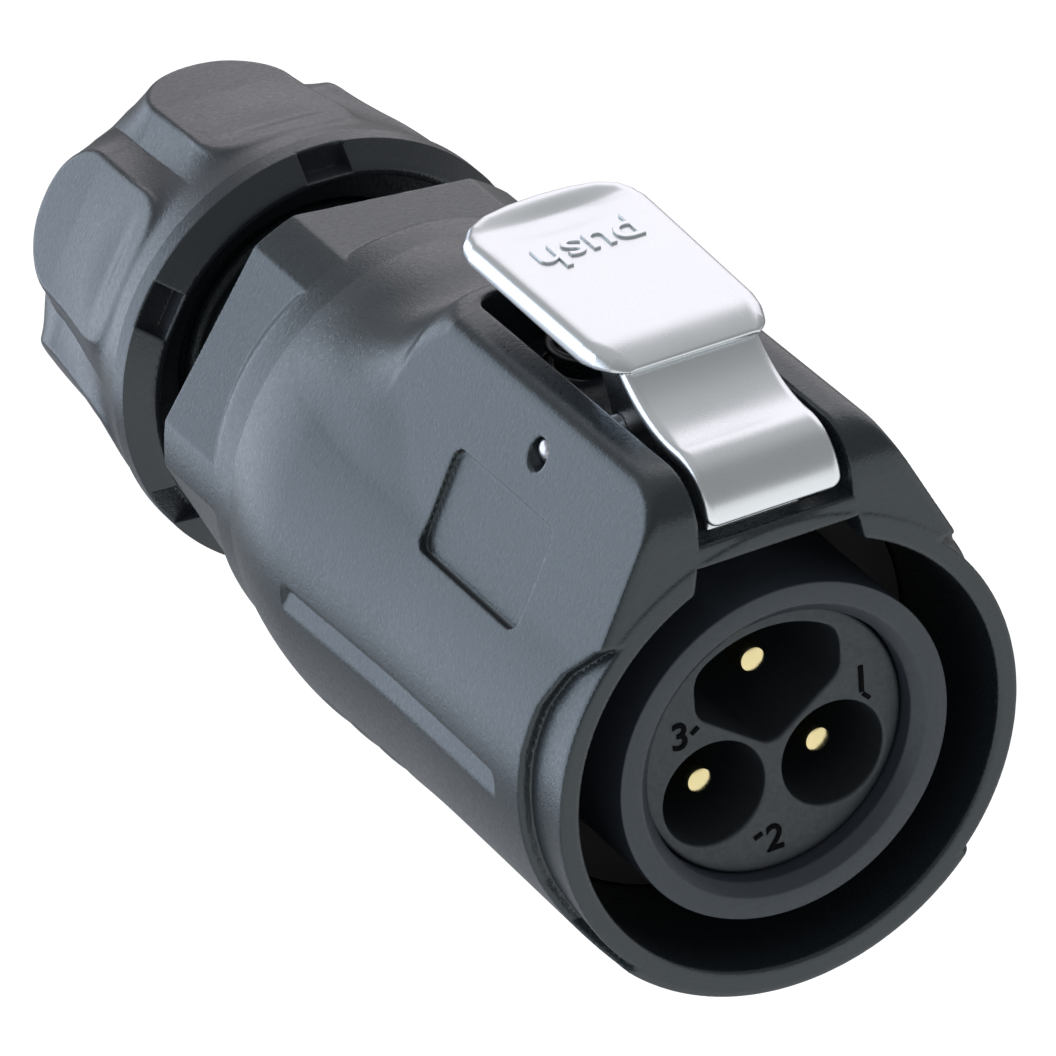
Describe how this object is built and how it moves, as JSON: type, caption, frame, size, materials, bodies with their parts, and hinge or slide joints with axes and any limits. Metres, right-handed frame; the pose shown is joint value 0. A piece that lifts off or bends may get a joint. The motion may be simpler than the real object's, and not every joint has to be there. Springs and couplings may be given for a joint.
{
  "type": "circular connector plug",
  "caption": "Circular cable plug with a push latch on top, a recessed contact insert in the mouth, a hexagon and a screw gland nut at the rear.",
  "frame": {"origin": "Middle of the mating face, where the plug's axis meets the plane of the mouth's edge.", "axes": "+Y runs along the axis from the mating face to the cable end, +Z is the latch side, +X is to the right when looking along +Y."},
  "size_m": [0.0282, 0.0674, 0.0355],
  "materials": {
    "shell_plastic": "satin dark blue-grey moulding",
    "nut_plastic": "satin dark grey moulding",
    "insert_plastic": "matte grey moulding",
    "claw_plastic": "plain grey moulding",
    "latch_chrome": "satin chrome on a casting",
    "steel": "plain steel",
    "contact_brass": "gilt",
    "rubber": "black rubber"
  },
  "bodies": {
    "shell": {"housing": "shell_plastic", "latch_pin": "steel", "latch_spring": "steel", "insert_sleeve": "insert_plastic", "insert_retaining_ring": "insert_plastic", "mating_seal": "rubber", "insert_o_ring": "rubber", "contact_carrier": "insert_plastic", "contact_clamp": "insert_plastic", "insert_screw": "steel", "contact_1": "contact_brass", "contact_2": "contact_brass", "contact_3": "contact_brass", "terminal_screws": "steel", "neck_o_ring": "rubber", "gland_claw": "claw_plastic", "gland_grommet": "rubber"},
    "latch": {"latch_lever": "latch_chrome"},
    "nut_slide": {"thrust_washer": "steel"},
    "nut": {"gland_nut": "nut_plastic"}
  },
  "joints": [
    {"name": "latch_pivot", "type": "hinge", "parent": "shell", "child": "latch", "pos_m": [0, 0.011, 0.0147], "axis": [-1, 0, 0], "range_deg": [0, 9], "stiffness_Nm_per_rad": 0.4, "springref_deg": -8.59, "deforming": ["latch_spring"]},
    {"name": "gland_slide", "type": "slide", "parent": "shell", "child": "nut_slide", "axis": [0, 1, 0], "range_m": [-0.0024, 0.0054]},
    {"name": "gland_turn", "type": "hinge", "parent": "nut_slide", "child": "nut", "pos_m": [0, 0.058, 0], "axis": [0, 1, 0], "range_deg": [-577, 1297]}
  ],
  "couplings": [
    {"joint": "gland_turn", "follows": "gland_slide", "rad_per_m": 4188.8}
  ]
}
